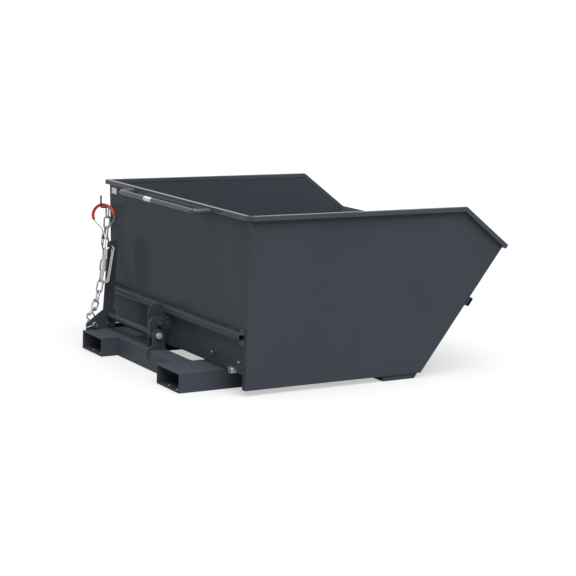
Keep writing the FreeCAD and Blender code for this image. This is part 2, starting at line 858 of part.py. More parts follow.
def chain_end_hook():
    """Open hook hung over the chain bolt from above, with a ring for the last link."""
    bolt = V(chain_bolt_x, end_hook_y, chain_bolt_z)
    radius = chain_bolt_diameter / 2 + end_hook_gap + ring_wire / 2
    front = bolt + V(radius, 0, 0)
    rear = bolt - V(radius, 0, 0)
    over = Part.Arc(front, bolt + V(0, 0, radius), rear).toShape()
    drop = V(0, 0, -radius)
    legs = [Part.LineSegment(front + drop * 0.5, front).toShape(), over,
            Part.LineSegment(rear, rear + drop * 0.5).toShape()]
    body = tube(Part.Wire(legs), ring_wire)
    facing = V(math.sin(math.radians(ring_turn)), math.cos(math.radians(ring_turn)), 0)
    ring = Part.makeTorus(ring_radius, ring_wire / 2, ring_centre, facing)
    stem = rod(bolt + V(0, 0, radius), ring_centre - V(0, 0, ring_radius), ring_wire)
    tips = [Part.makeSphere(ring_wire / 2, foot + drop * 0.5) for foot in (front, rear)]
    return body.fuse(tips + [stem, ring]).removeSplitter()


# Wire rope: tail from the lever, tied hank, riser, hand loop with its sleeve

loop_top = V(loop_x, peg_y, peg_level + peg_diameter / 2 + sleeve_diameter / 2 + link_play)
loop_down = V(-10, -17, -loop_height)
loop_side = V(0.5, -0.866, 0).normalize()
loop_foot = loop_top + loop_down


def loop_spot(sideways, rise):
    """Place in the loop's plane: millimetres sideways, and a share of its height above the ferrule."""
    return loop_foot + loop_side * sideways - loop_down * rise


hank_down = V(-hank_swing, 0, -hank_length).normalize()
hank_across = V(-hank_down.z, 0, hank_down.x)
hank_half = hank_width / 2
hank_rise = (lever_top_z - hank_top_z - (hank_across.z + hank_down.z) * hank_half) / -hank_down.z
hank_top_x = rope_fix_x + hank_down.x * (hank_rise - hank_half) - hank_across.x * hank_half
hank_head = V(hank_top_x, hank_near, hank_top_z)


def hank_path():
    """Racetrack turns side by side; each climbs one pitch along its rising run, as two arcs."""
    radius = hank_width / 2
    run = hank_length - hank_width
    climb = V(0, hank_pitch, 0)
    edges = []
    for turn in range(hank_turns):
        base = hank_head + hank_down * radius + climb * turn
        left = base - hank_across * radius
        right = base + hank_across * radius
        if turn > 0:
            edges.append(Part.Arc(left, base - hank_down * radius, right).toShape())
        low_right = right + hank_down * run
        low_left = left + hank_down * run
        edges.append(Part.LineSegment(right, low_right).toShape())
        edges.append(Part.Arc(low_right, base + hank_down * (run + radius), low_left).toShape())
        edges += climb_arcs(low_left, hank_down * -run, climb)
    return edges


def climb_arcs(start, run, rise):
    """Two tangent arcs that shift a straight run sideways."""
    length = run.Length
    height = rise.Length
    radius = (length * length + height * height) / (4 * height)
    along = V(run).normalize()
    up = V(rise).normalize()
    turn = math.asin(length / 2 / radius) / 2
    bulge = along * (radius * math.sin(turn)) + up * (radius * (1 - math.cos(turn)))
    middle = start + (run + rise) * 0.5
    end = start + run + rise
    return [Part.Arc(start, start + bulge, middle).toShape(), Part.Arc(middle, end - bulge, end).toShape()]


def least_gap(edges, diameter):
    """Least clear distance between neighbouring turns of a wound tube, measured on points."""
    step = diameter / 4
    points = []
    for edge in edges:
        count = max(2, math.ceil(edge.Length / step))
        span = edge.LastParameter - edge.FirstParameter
        points += [edge.valueAt(edge.FirstParameter + span * i / count) for i in range(count)]
    near = int(hank_width / step)
    least = min((a - b).Length for i, a in enumerate(points) for b in points[i + near:])
    return least - diameter


hank_edges = hank_path()
hank_wire = Part.Wire(hank_edges)
print("hank least gap", round(least_gap(hank_edges, rope_diameter), 3))
print("hank rope length", round(hank_wire.Length, 1))

hank_start = hank_edges[0].valueAt(hank_edges[0].FirstParameter)
hank_stop = hank_edges[-1].valueAt(hank_edges[-1].LastParameter)
lever_eye = V(rope_fix_x, lever_y - running_gap, lever_top_z)


def route(points, name):
    """Free stretch of rope: straight runs with arcs as large as the runs allow."""
    edges = []
    last = points[0]
    for before, corner, after in zip(points, points[1:], points[2:]):
        into = before - corner
        out = after - corner
        cut = 0.45 * min(into.Length, out.Length)
        into.normalize()
        out.normalize()
        half = math.acos(into.dot(out)) / 2
        radius = cut * math.tan(half)
        middle = (into + out).normalize()
        top = corner + middle * (radius / math.sin(half) - radius)
        edges.append(Part.LineSegment(last, corner + into * cut).toShape())
        edges.append(Part.Arc(corner + into * cut, top, corner + out * cut).toShape())
        last = corner + out * cut
        print(name, "radius", round(radius, 1))
    edges.append(Part.LineSegment(last, points[-1]).toShape())
    wire = Part.Wire(edges)
    print(name, "length", round(wire.Length, 1))
    return wire


def hank_tie():
    """Black band drawn round the turns of the hank at its head."""
    spare = rope_diameter / 2 + link_play
    near = hank_head + V(0, hank_pitch - spare, 0) - hank_across * (tie_width / 2)
    wide = V(0, (hank_turns - 2) * hank_pitch + 2 * spare, 0)
    sag = hank_width / 2 - math.sqrt((hank_width / 2) ** 2 - (tie_width / 2) ** 2)

    def ring(grow):
        low = near - V(0, grow, 0) - hank_down * (spare + grow)
        rise = wide + V(0, 2 * grow, 0)
        deep = hank_down * (2 * (spare + grow) + sag)
        return plate([low, low + rise, low + rise + deep, low + deep], hank_across * tie_width)

    return ring(tie_wall).cut(ring(0.0))


ferrule_run = V(-0.25, -0.40, -0.88).normalize()
ferrule_end = loop_foot + ferrule_run * ferrule_length
tail_turn = V(rope_fix_x, hank_near, lever_top_z)
rope_tail_points = [hank_start, tail_turn, lever_eye]
riser_points = [hank_stop, hank_stop - hank_down * 44, V(-109, 468, 498), V(-105, 494, 502),
                V(-100, 518, 478), V(-91, 541, 436), ferrule_end + ferrule_run * 28, ferrule_end]

strand_side = (loop_side - ferrule_run * loop_side.dot(ferrule_run)).normalize()
strand_shift = strand_side * ((rope_diameter + strand_gap) / 2)
strand_rise = ferrule_run * -17
half_loop = [(11, 0.25), (41, 0.37), (60, 0.57), (53, 0.80), (28, 0.97)]
loop_points = [loop_foot + strand_shift, loop_foot + strand_shift + strand_rise]
loop_points += [loop_spot(sideways, rise) for sideways, rise in half_loop]
loop_points += [loop_spot(0, 1.01)]
loop_points += [loop_spot(-sideways, rise) for sideways, rise in reversed(half_loop)]
loop_points += [loop_foot - strand_shift + strand_rise, loop_foot - strand_shift]
loop_edges = route(loop_points, "hand_loop").Edges
sleeve_first = 8
sleeve_last = 21


def loop_ferrule():
    return rod(loop_foot, ferrule_end, ferrule_diameter)


# Assembly

nodes = {
    "fork_pocket_far": fork_pocket(),
    "fork_pocket_near": mirrored(fork_pocket()),
    "rear_crossbeam": rear_crossbeam(),
    "front_crossbeam": front_crossbeam(),
    "crossbeam_end_plates": pair(beam_end_plate()),
    "rest_pads": Part.makeCompound([pair(rest_pad(pad_rear)), pair(rest_pad(pad_front))]),
    "pivot_ears": pair(pivot_ear()),
    "pivot_pins": pair(pivot_pin()),
    "pivot_washers": pair(pivot_washer()),
    "pivot_split_pins": pair(split_pin()),
    "latch_bracket_tall": tall_bracket(),
    "latch_bracket_low": low_bracket(),
    "chain_bracket": chain_bracket(),
    "chain_bolt": chain_bolt(),
    "chain_bolt_nut": chain_bolt_nut(),
    "bolt_clip": bolt_clip(),
    "bracket_bolts": bracket_bolts(),
    "back_wall": back_wall(),
    "side_wall_far": side_wall(),
    "side_wall_near": mirrored(side_wall()),
    "floor_plate": floor_plate(),
    "front_plate": front_plate(),
    "rim_rear": rear_rim(),
    "rim_far": side_rim(far_corner_cut),
    "rim_near": mirrored(side_rim(near_corner_cut)),
    "rim_front_lip": front_lip(),
    "front_stiffener": front_stiffener(),
    "rear_rail": rail_tube(),
    "rail_end_plates": pair(rail_end_plate()),
    "push_handle": push_handle(),
    "catch_backing_plate": catch_backing(),
    "catch_plates": Part.makeCompound([catch_plate(catch_near), catch_plate(catch_far)]),
    "catch_pin": catch_pin(),
    "pivot_lugs": pivot_lugs(),
    "rope_peg": rope_peg(),
    "stop_stubs": pair(stop_stub()),
    "wall_studs": Part.makeCompound([wall_stud(stud_near), wall_stud(stud_mid)]),
    "blank_plate": blank_plate(),
    "latch_shaft": latch_shaft(),
    "latch_axle": latch_axle(),
    "axle_nut": axle_nut(),
    "axle_spacer": axle_spacer(),
    "latch_hook": latch_hook(),
    "release_lever": release_lever(),
    "safety_chain": safety_chain(),
    "chain_end_hook": chain_end_hook(),
    "rope_hank": tube(hank_wire, rope_diameter),
    "hank_tie": hank_tie(),
    "rope_tail": tube(route(rope_tail_points, "rope_tail"), rope_diameter),
    "rope_riser": tube(route(riser_points, "rope_riser"), rope_diameter),
    "loop_ferrule": loop_ferrule(),
    "hand_loop": Part.makeCompound([tube(Part.Wire(loop_edges[:sleeve_first]), rope_diameter),
                                    tube(Part.Wire(loop_edges[sleeve_last:]), rope_diameter)]),
    "loop_sleeve": tube(Part.Wire(loop_edges[sleeve_first:sleeve_last]), sleeve_diameter),
}

length_front = lip_top.x + slope_out.x * lip_overhang
centre = V((pocket_reach - length_front) / 2, 0, 0)
os.makedirs("parts", exist_ok=True)
for name, shape in nodes.items():
    shape.translated(centre).exportStep("parts/%s.step" % name)
print("length", round(length_front + pocket_reach, 1), "origin shift", round(centre.x, 2))
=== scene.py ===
import bmesh
import bpy
import math
from mathutils import Matrix, Vector


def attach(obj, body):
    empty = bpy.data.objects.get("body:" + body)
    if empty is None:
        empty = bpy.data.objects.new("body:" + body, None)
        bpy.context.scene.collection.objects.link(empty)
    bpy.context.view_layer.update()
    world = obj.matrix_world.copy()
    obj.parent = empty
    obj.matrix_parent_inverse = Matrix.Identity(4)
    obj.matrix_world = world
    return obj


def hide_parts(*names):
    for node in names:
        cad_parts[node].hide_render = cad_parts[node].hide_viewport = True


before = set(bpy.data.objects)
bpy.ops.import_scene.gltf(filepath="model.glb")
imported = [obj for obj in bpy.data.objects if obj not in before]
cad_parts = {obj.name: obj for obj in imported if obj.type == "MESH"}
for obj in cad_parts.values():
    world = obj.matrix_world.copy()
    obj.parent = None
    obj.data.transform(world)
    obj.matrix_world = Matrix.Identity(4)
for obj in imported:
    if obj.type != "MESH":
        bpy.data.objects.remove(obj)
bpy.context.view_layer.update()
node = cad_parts


# Base frame: two fork pockets of rectangular tube, a square rear crossbeam and a flat front
# crossbeam with end plates, all of steel and welded together. They are powder coated anthracite,
# with a fine orange-peel skin and hardly any shine.
def feed(tree, socket, value):
    """Link another node's output to a socket, or set a plain value on it."""
    if isinstance(value, bpy.types.NodeSocket):
        tree.links.new(value, socket)
    else:
        socket.default_value = value


def worked(tree, operation, *values):
    """Result of a math step on numbers and on other nodes' outputs."""
    step = tree.nodes.new("ShaderNodeMath")
    step.operation = operation
    for socket, value in zip(step.inputs, values):
        feed(tree, socket, value)
    return step.outputs[0]


def ranged(tree, value, given=(0.0, 1.0), wanted=(0.0, 1.0)):
    """A value carried from one span to another."""
    span = tree.nodes.new("ShaderNodeMapRange")
    for name, number in zip(("From Min", "From Max", "To Min", "To Max"), given + wanted):
        span.inputs[name].default_value = number
    feed(tree, span.inputs["Value"], value)
    return span.outputs["Result"]


def scaled(tree, colour, share):
    """A colour made darker or paler by a share."""
    step = tree.nodes.new("ShaderNodeVectorMath")
    step.operation = "SCALE"
    feed(tree, step.inputs[0], colour)
    feed(tree, step.inputs["Scale"], share)
    return step.outputs[0]


def noise(tree, place, scale, detail):
    """Noise over the piece's own coordinates."""
    grain = tree.nodes.new("ShaderNodeTexNoise")
    grain.inputs["Scale"].default_value = scale
    grain.inputs["Detail"].default_value = detail
    feed(tree, grain.inputs["Vector"], place.outputs["Object"])
    return grain.outputs["Fac"]


def new_group(name, inputs, outputs):
    """Empty shader group with named sockets, and its input and output nodes."""
    group = bpy.data.node_groups.new(name, "ShaderNodeTree")
    for way, sockets in (("INPUT", inputs), ("OUTPUT", outputs)):
        for label, kind in sockets.items():
            group.interface.new_socket(label, in_out=way, socket_type="NodeSocket" + kind)
    return group, group.nodes.new("NodeGroupInput"), group.nodes.new("NodeGroupOutput")


skin_outputs = {"Color": "Color", "Roughness": "Float", "Height": "Float"}


def coat_group():
    """Powder coat: cloudy tint, patchy shine and a fine peel. Matt is the least roughness."""
    inputs = {"Tint": "Color", "Cloud": "Float", "Matt": "Float"}
    group, given, out = new_group("coat_skin", inputs, skin_outputs)
    place = group.nodes.new("ShaderNodeTexCoord")
    cloud = ranged(group, noise(group, place, scale=3.5, detail=4.0), wanted=(-0.5, 0.5))
    share = worked(group, "MULTIPLY_ADD", cloud, given.outputs["Cloud"], 1.0)
    feed(group, out.inputs["Color"], scaled(group, given.outputs["Tint"], share))
    patch = noise(group, place, scale=26.0, detail=5.0)
    patch_spread = 0.10
    rough = worked(group, "MULTIPLY_ADD", patch, patch_spread, given.outputs["Matt"])
    feed(group, out.inputs["Roughness"], rough)
    feed(group, out.inputs["Height"], noise(group, place, scale=420.0, detail=2.0))
    return group


def surfaced(name, group, settings, bump, depth, metallic=0.0, specular=0.5):
    """Material whose colour, roughness and relief come from a skin group."""
    mat = bpy.data.materials.new(name)
    mat.use_nodes = True
    tree = mat.node_tree
    shader = tree.nodes["Principled BSDF"]
    shader.inputs["Metallic"].default_value = metallic
    shader.inputs["Specular IOR Level"].default_value = specular
    skin = tree.nodes.new("ShaderNodeGroup")
    skin.node_tree = group
    for key, value in settings.items():
        skin.inputs[key].default_value = value
    feed(tree, shader.inputs["Base Color"], skin.outputs["Color"])
    feed(tree, shader.inputs["Roughness"], skin.outputs["Roughness"])
    relief = tree.nodes.new("ShaderNodeBump")
    relief.inputs["Strength"].default_value = bump
    relief.inputs["Distance"].default_value = depth
    feed(tree, relief.inputs["Height"], skin.outputs["Height"])
    feed(tree, shader.inputs["Normal"], relief.outputs["Normal"])
    return mat


def finish_nodes(names, mat, edge=None):
    """Give CAD nodes a material and, where an edge is named, round their edges by that radius."""
    for name in names:
        piece = node[name]
        piece.data.materials.clear()
        piece.data.materials.append(mat)
        if edge:
            join = piece.modifiers.new("weld", "WELD")
            join.merge_threshold = 0.00002
            soft = piece.modifiers.new("edge", "BEVEL")
            soft.width = edge
            soft.segments = 2
            soft.limit_method = "ANGLE"
            soft.angle_limit = math.radians(40)


coat_skin = coat_group()
base_coat = surfaced("anthracite_base_coat", coat_skin,
                     {"Tint": (0.069, 0.079, 0.095, 1), "Cloud": 0.25, "Matt": 0.20},
                     bump=0.05, depth=0.0003, specular=0.02)
finish_nodes(["fork_pocket_near", "fork_pocket_far", "rear_crossbeam", "front_crossbeam"],
             base_coat, edge=0.0015)
finish_nodes(["crossbeam_end_plates", "pivot_ears"], base_coat, edge=0.0008)


# Rest pads: blocks of black rubber that take the skip's weight and the knock when it falls back.
# They are glued on the fork pockets, under the skip's floor.
rubber = surfaced("black_rubber", coat_skin,
                  {"Tint": (0.012, 0.012, 0.013, 1), "Cloud": 0.3, "Matt": 0.6},
                  bump=0.15, depth=0.0004)
finish_nodes(["rest_pads"], rubber, edge=0.0004)


# Zinc hardware: turned pivot and catch pins, washers, split pins, bolts, and the welded chain
# with its hook and clip. All are steel, bright zinc plated with a mottled crystal skin, and are
# pushed, screwed or hooked into place.
def zinc_group():
    """Bright zinc: grey mottle, streaked shine and a light grain. Matt is the least roughness."""
    inputs = {"Tint": "Color", "Matt": "Float"}
    group, given, out = new_group("zinc_skin", inputs, skin_outputs)
    place = group.nodes.new("ShaderNodeTexCoord")
    mottle = group.nodes.new("ShaderNodeTexVoronoi")
    mottle.inputs["Scale"].default_value = 260.0
    feed(group, mottle.inputs["Vector"], place.outputs["Object"])
    share = ranged(group, mottle.outputs["Distance"], wanted=(0.82, 1.08))
    feed(group, out.inputs["Color"], scaled(group, given.outputs["Tint"], share))
    streak = noise(group, place, scale=160.0, detail=4.0)
    streak_spread = 0.16
    rough = worked(group, "MULTIPLY_ADD", streak, streak_spread, given.outputs["Matt"])
    feed(group, out.inputs["Roughness"], rough)
    feed(group, out.inputs["Height"], streak)
    return group


zinc_skin = zinc_group()
zinc = surfaced("bright_zinc", zinc_skin, {"Tint": (0.41, 0.42, 0.43, 1), "Matt": 0.28},
                bump=0.12, depth=0.0003, metallic=1.0)
finish_nodes(["pivot_pins", "pivot_washers", "pivot_split_pins", "chain_bolt", "chain_bolt_nut",
              "bracket_bolts", "catch_pin"], zinc, edge=0.0008)
finish_nodes(["safety_chain", "chain_end_hook", "bolt_clip"], zinc)


# Latch axle: a turned steel axle with its spacer and hexagon nut, held in the two latch brackets.
# They are the chain's zinc made paler and part matt, a painted highlight for their bright gleam.
zinc_painted_highlight = surfaced("zinc_painted_highlight", zinc_skin, {"Tint": (0.74, 0.75, 0.76, 1), "Matt": 0.26},
                     bump=0.12, depth=0.0003, metallic=0.5)
finish_nodes(["axle_nut", "axle_spacer", "latch_axle"], zinc_painted_highlight, edge=0.0008)


# Rear stop stubs: short turned steel studs that stand out from the back wall near its lower
# corners. They are dull zinc plated and seated flat on the wall.
dull_zinc = surfaced("dull_zinc", zinc_skin, {"Tint": (0.37, 0.38, 0.40, 1), "Matt": 0.34},
                     bump=0.15, depth=0.0004, metallic=1.0)
finish_nodes(["stop_stubs"], dull_zinc, edge=0.0015)


# Skip body: folded sheet steel with side walls drafted outwards, a square tube rail across the
# back and lugs for the pivot. It is welded at every corner and coated like the base; the studs
# in the back wall are zinc.
coat = surfaced("anthracite_coat", coat_skin,
                {"Tint": (0.061, 0.070, 0.084, 1), "Cloud": 0.25, "Matt": 0.20},
                bump=0.05, depth=0.0003, specular=0.02)
finish_nodes(["side_wall_near", "side_wall_far", "back_wall", "floor_plate", "front_plate"],
             coat, edge=0.0007)
finish_nodes(["rear_rail", "rail_end_plates", "pivot_lugs"], coat, edge=0.0012)
finish_nodes(["rope_peg"], coat)
finish_nodes(["wall_studs"], zinc)


# Rim bars and push handle: square bars and a bent round tube, welded to the edges of the sheet.
# The drawn steel is smoother than the sheet, so the same coat shines more on it. Near its bends
# the handle's coat is rubbed through to flecks of bare steel.
def mixed(tree, mask, first, second):
    """A colour that changes from the first to the second by a mask."""
    blend = tree.nodes.new("ShaderNodeMix")
    blend.data_type = "RGBA"
    feed(tree, blend.inputs["Factor"], mask)
    feed(tree, blend.inputs["A"], first)
    feed(tree, blend.inputs["B"], second)
    return blend.outputs["Result"]


def side_size(tree, vector):
    """How far a vector reaches to either side of the skip."""
    apart = tree.nodes.new("ShaderNodeSeparateXYZ")
    feed(tree, apart.inputs[0], vector)
    return worked(tree, "ABSOLUTE", apart.outputs["Y"])


def rub_group():
    """Flecks of bare steel that show more and more towards both ends of a long piece."""
    inputs = {"Coat": "Color", "Bare": "Color"}
    group, given, out = new_group("rub_marks", inputs, {"Color": "Color"})
    place = group.nodes.new("ShaderNodeTexCoord")
    flecks = ranged(group, noise(group, place, scale=140.0, detail=3.0), given=(0.57, 0.68))
    ends = ranged(group, side_size(group, place.outputs["Object"]), given=(0.20, 0.33))
    worn = worked(group, "MULTIPLY", flecks, ends)
    bared = mixed(group, worn, given.outputs["Coat"], given.outputs["Bare"])
    feed(group, out.inputs["Color"], bared)
    return group


def repainted(mat, change):
    """Put a change between a material's skin and its base colour."""
    tree = mat.node_tree
    base = tree.nodes["Principled BSDF"].inputs["Base Color"]
    feed(tree, base, change(tree, base.links[0].from_socket))


def rubbed(tree, painted):
    """The painted colour with the flecks of bare steel."""
    bare_steel = (0.26, 0.27, 0.28, 1)
    rub = tree.nodes.new("ShaderNodeGroup")
    rub.node_tree = rub_group()
    rub.inputs["Bare"].default_value = bare_steel
    feed(tree, rub.inputs["Coat"], painted)
    return rub.outputs["Color"]


# The rim bars' tint is a little paler than the sheet's coat: painted light for their brighter lit
# faces.
bar_coat = surfaced("anthracite_bar_coat", coat_skin,
                    {"Tint": (0.067, 0.077, 0.094, 1), "Cloud": 0.2, "Matt": 0.12},
                    bump=0.04, depth=0.0002, specular=0.10)
finish_nodes(["rim_rear", "rim_near", "rim_far", "rim_front_lip"], bar_coat, edge=0.0025)
handle_coat = surfaced("handle_coat", coat_skin,
                       {"Tint": (0.060, 0.069, 0.083, 1), "Cloud": 0.2, "Matt": 0.24},
                       bump=0.04, depth=0.0002, specular=0.18)
repainted(handle_coat, rubbed)
finish_nodes(["push_handle"], handle_coat)


# Front stiffener: a square steel tube welded across the front plate and coated with it.
# Each end face is painted black, a painted shade for the dark inside of the tube's open ends.
def shade_painted_ends(tree, painted):
    """The coat colour, and black painted shade on the faces that look to either side."""
    painted_shade_black = (0.008, 0.008, 0.009, 1)
    nearly_sideways = 0.9
    facing = tree.nodes.new("ShaderNodeTexCoord").outputs["Normal"]
    end = worked(tree, "GREATER_THAN", side_size(tree, facing), nearly_sideways)
    return mixed(tree, end, painted, painted_shade_black)


tube_coat = surfaced("stiffener_coat", coat_skin,
                     {"Tint": (0.061, 0.070, 0.084, 1), "Cloud": 0.25, "Matt": 0.22},
                     bump=0.05, depth=0.0003, specular=0.03)
# Black end faces: painted shade for the dark inside of the tube's open ends.
repainted(tube_coat, shade_painted_ends)
finish_nodes(["front_stiffener"], tube_coat, edge=0.0015)


# Latch and catch: flame-cut steel brackets, hook and catch plates, a round release shaft and a
# flat lever. The brackets are welded to the base and the catch to the skip, all coated alike.
finish_nodes(["latch_bracket_tall", "latch_bracket_low", "chain_bracket", "catch_backing_plate",
              "catch_plates", "latch_hook", "release_lever", "latch_shaft"], coat, edge=0.0012)


# Blank plate: a small plate of bare matt aluminium with nothing on it. It is fixed flat to the
# back wall, just below the rim.
plate_metal = surfaced("matt_aluminium", zinc_skin, {"Tint": (0.55, 0.55, 0.54, 1), "Matt": 0.36},
                       bump=0.10, depth=0.0002, metallic=0.6)
finish_nodes(["blank_plate"], plate_metal, edge=0.0003)


# Wire rope: six strands laid round a core, bare galvanised wire. It is made fast to the lever's
# head, hangs beside it in a hank held by a rubber tie, and runs up to the ferrule of the hand loop.
part_middle = 514.07


def at(x, y, z):
    """A place given in millimetres: x from the rear foot of the side walls, z from the ground."""
    return Vector(((x - part_middle) / 1000, y / 1000, z / 1000))


def spline_line(name, points):
    """Smooth centreline through a route's points, read back as a list of places."""
    curve = bpy.data.curves.new(name, "CURVE")
    curve.dimensions = "3D"
    curve.resolution_u = 10
    line = curve.splines.new("NURBS")
    line.points.add(len(points) - 1)
    for spot, place in zip(line.points, points):
        spot.co = (*place, 1.0)
    line.order_u = 3
    line.use_endpoint_u = True
    holder = bpy.data.objects.new(name, curve)
    mesh = bpy.data.meshes.new_from_object(holder)
    places = [v.co.copy() for v in mesh.vertices]
    bpy.data.objects.remove(holder)
    bpy.data.meshes.remove(mesh)
    return places


def along(places):
    """Distance run at each place of a line."""
    run = [0.0]
    for a, b in zip(places, places[1:]):
        run.append(run[-1] + (b - a).length)
    return run


def evenly(places, step):
    """The same line with places a steady step apart."""
    run = along(places)
    count = max(2, round(run[-1] / step))
    result = []
    j = 0
    for i in range(count + 1):
        want = run[-1] * i / count
        while j < len(run) - 2 and run[j + 1] < want:
            j += 1
        part = (want - run[j]) / max(run[j + 1] - run[j], 1e-9)
        result.append(places[j].lerp(places[j + 1], part))
    return result


def frames(places):
    """Two side directions at each place of a line, carried along without twist."""
    heads = []
    for i in range(len(places)):
        before = places[max(i - 1, 0)]
        after = places[min(i + 1, len(places) - 1)]
        heads.append((after - before).normalized())
    side = heads[0].orthogonal().normalized()
    found = []
    for head in heads:
        side = (side - head * side.dot(head)).normalized()
        found.append((side, head.cross(side)))
    return found


def tubes(name, lines, sides):
    """Round tubes as one piece, each a line's places with a radius at each, closed at both ends."""
    mesh = bmesh.new()
    turns = [2 * math.pi * k / sides for k in range(sides)]
    for places, radii in lines:
        rings = []
        for place, radius, (side, up) in zip(places, radii, frames(places)):
            outs = [side * math.cos(turn) + up * math.sin(turn) for turn in turns]
            rings.append([mesh.verts.new(place + out * radius) for out in outs])
        for ring, after in zip(rings, rings[1:]):
            for k in range(sides):
                m = (k + 1) % sides
                mesh.faces.new((ring[k], ring[m], after[m], after[k])).smooth = True
        mesh.faces.new(reversed(rings[0]))
        mesh.faces.new(rings[-1])
    data = bpy.data.meshes.new(name)
    mesh.to_mesh(data)
    mesh.free()
    piece = bpy.data.objects.new(name, data)
    bpy.context.scene.collection.objects.link(piece)
    return piece


def stranded(name, places, diameter, lay):
    """Six strands twisted round a core along a line, one turn in each lay."""
    count = 6
    radius = diameter / 6
    lines = [places]
    for k in range(count):
        line = []
        for place, distance, (side, up) in zip(places, along(places), frames(places)):
            turn = 2 * math.pi * (k / count + distance / lay)
            out = side * math.cos(turn) + up * math.sin(turn)
            line.append(place + out * (diameter / 2 - radius))
        lines.append(line)
    return tubes(name, [(line, [radius] * len(line)) for line in lines], sides=6)


rope_size = 0.005
rope_lay = 0.030
rope_step = 0.004
hank_head = at(-99.32, 425, 440)
hank_down = Vector((-24, 0, -150)).normalized()
hank_across = Vector((-hank_down.z, 0, hank_down.x))
hank_step = Vector((0, 0.0057, 0))
hank_reach = 0.150
hank_half = 0.016
hank_turns = 4
width_swing = 0.05
width_beat = 2.3
reach_swing = 0.004
reach_beat = 1.7
reach_start = 0.6
fold_share = 0.55
fold_bend = 0.012
fold_run = 0.038
head_bend = 0.010
head_start = 0.020
head_run = 0.055


def hank_spot(turn, across, down, climb):
    """Place in the hank: across and down its length, and how far it has climbed in this turn."""
    return hank_head + hank_across * across + hank_down * down + hank_step * (turn + climb)


rope_route = [at(-82, 460.95, 447), at(-82, 425, 447)]
for turn in range(hank_turns):
    wide = hank_half * (1.0 + width_swing * math.sin(width_beat * turn))
    deep = hank_reach + reach_swing * math.sin(reach_beat * turn + reach_start)
    fold = wide * fold_share
    spots = [(wide, head_start, 0), (wide, head_run, 0), (wide, deep - fold_run, 0),
             (wide, deep - fold_bend, 0), (fold, deep, 0), (-fold, deep, 0),
             (-wide, deep - fold_bend, 0), (-wide, deep - fold_run, 0.1), (-wide, head_run, 0.9),
             (-wide, head_start, 1)]
    if turn < hank_turns - 1:
        spots += [(-wide, head_bend, 1), (-fold, 0, 1), (fold, 0, 1), (wide, head_bend, 1)]
    rope_route += [hank_spot(turn, *spot) for spot in spots]
loop_foot = at(-63, 583, 476.05)
ferrule_run = Vector((-0.25, -0.40, -0.88)).normalized()
ferrule_length = 0.018
ferrule_lead = 0.028
ferrule_end = loop_foot + ferrule_run * ferrule_length
rope_route += [at(-110.7, 447.8, 470.2), at(-109, 468, 498), at(-105, 494, 502), at(-100, 518, 478),
               at(-91, 541, 436), ferrule_end + ferrule_run * ferrule_lead, ferrule_end]
rope_line = evenly(spline_line("rope_route", rope_route), rope_step)
rope_wire = surfaced("bare_wire", zinc_skin, {"Tint": (0.60, 0.61, 0.62, 1), "Matt": 0.30},
                     bump=0.10, depth=0.0002, metallic=1.0)
rope = stranded("wire_rope", rope_line, rope_size, rope_lay)
rope.data.materials.append(rope_wire)
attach(rope, "skip")
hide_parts("rope_tail", "rope_hank", "rope_riser")
finish_nodes(["hank_tie", "loop_ferrule"], rubber, edge=0.0008)


# Hand loop: the rope's end turned back into the ferrule, in wire darkened by handling. A hose of
# red plastic is slipped over the part that hangs on the peg and is held in the hand.
loop_side = Vector((0.5, -0.866, 0)).normalized()
loop_rise = at(-53, 600, 608.05) - loop_foot
strand_apart = 0.00275
strand_lead = 0.017
strand_side = (loop_side - ferrule_run * loop_side.dot(ferrule_run)).normalized() * strand_apart
strand_rise = ferrule_run * -strand_lead
half_loop = [(11, 0.25), (41, 0.37), (60, 0.57), (53, 0.80), (28, 0.97)]


def loop_spot(across, up):
    """Place in the loop's plane: millimetres across, and a share of its height."""
    return loop_foot + loop_side * (across / 1000) + loop_rise * up


loop_route = [loop_foot + strand_side, loop_foot + strand_side + strand_rise]
loop_route += [loop_spot(a, u) for a, u in half_loop] + [loop_spot(0, 1.01)]
loop_route += [loop_spot(-a, u) for a, u in reversed(half_loop)]
loop_route += [loop_foot - strand_side + strand_rise, loop_foot - strand_side]
loop_line = evenly(spline_line("loop_route", loop_route), rope_step)
loop_wire = surfaced("handled_wire", zinc_skin, {"Tint": (0.30, 0.305, 0.31, 1), "Matt": 0.34},
                     bump=0.10, depth=0.0002, metallic=1.0)
loop = stranded("loop_rope", loop_line, rope_size, rope_lay)
loop.data.materials.append(loop_wire)
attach(loop, "skip")
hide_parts("hand_loop")

hose_radius = 0.00675
hose_from = 0.295
hose_to = 0.775
hose_line = loop_line[int(len(loop_line) * hose_from):int(len(loop_line) * hose_to)]
hose_red = surfaced("red_hose", coat_skin,
                    {"Tint": (0.47, 0.026, 0.011, 1), "Cloud": 0.2, "Matt": 0.34},
                    bump=0.06, depth=0.0005)
hose = tubes("loop_hose", [(hose_line, [hose_radius] * len(hose_line))], sides=20)
hose.data.materials.append(hose_red)
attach(hose, "skip")
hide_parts("loop_sleeve")


# Welds: rippled fillet beads of steel where the brackets, crossbeam, rail, handle and peg meet
# what they stand on. They are laid before the coat, which covers them.
def ripple(count, size):
    """Radius along a bead, which swells and shrinks with the welder's hand."""
    swell = 0.14
    beat = 2.6
    return [size * (1.0 + swell * math.sin(beat * i)) for i in range(count + 1)]


def bead(start, end, size):
    """Places and radii of a straight bead."""
    pitch = 0.0012
    count = max(6, round((end - start).length / pitch))
    return [start.lerp(end, i / count) for i in range(count + 1)], ripple(count, size)


def ring_bead(middle, radius, size, count=48):
    """Places and radii of a bead round the root of a bar that stands out to the rear."""
    axis = Vector((1, 0, 0))
    side = axis.orthogonal().normalized() * radius
    turns = [Matrix.Rotation(2 * math.pi * i / count, 3, axis) for i in range(count + 1)]
    return [middle + turn @ side for turn in turns], ripple(count, size)


def weld(name, beads, body):
    """All beads on one body as one coated piece."""
    piece = tubes(name, beads, sides=8)
    piece.data.materials.append(coat)
    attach(piece, body)


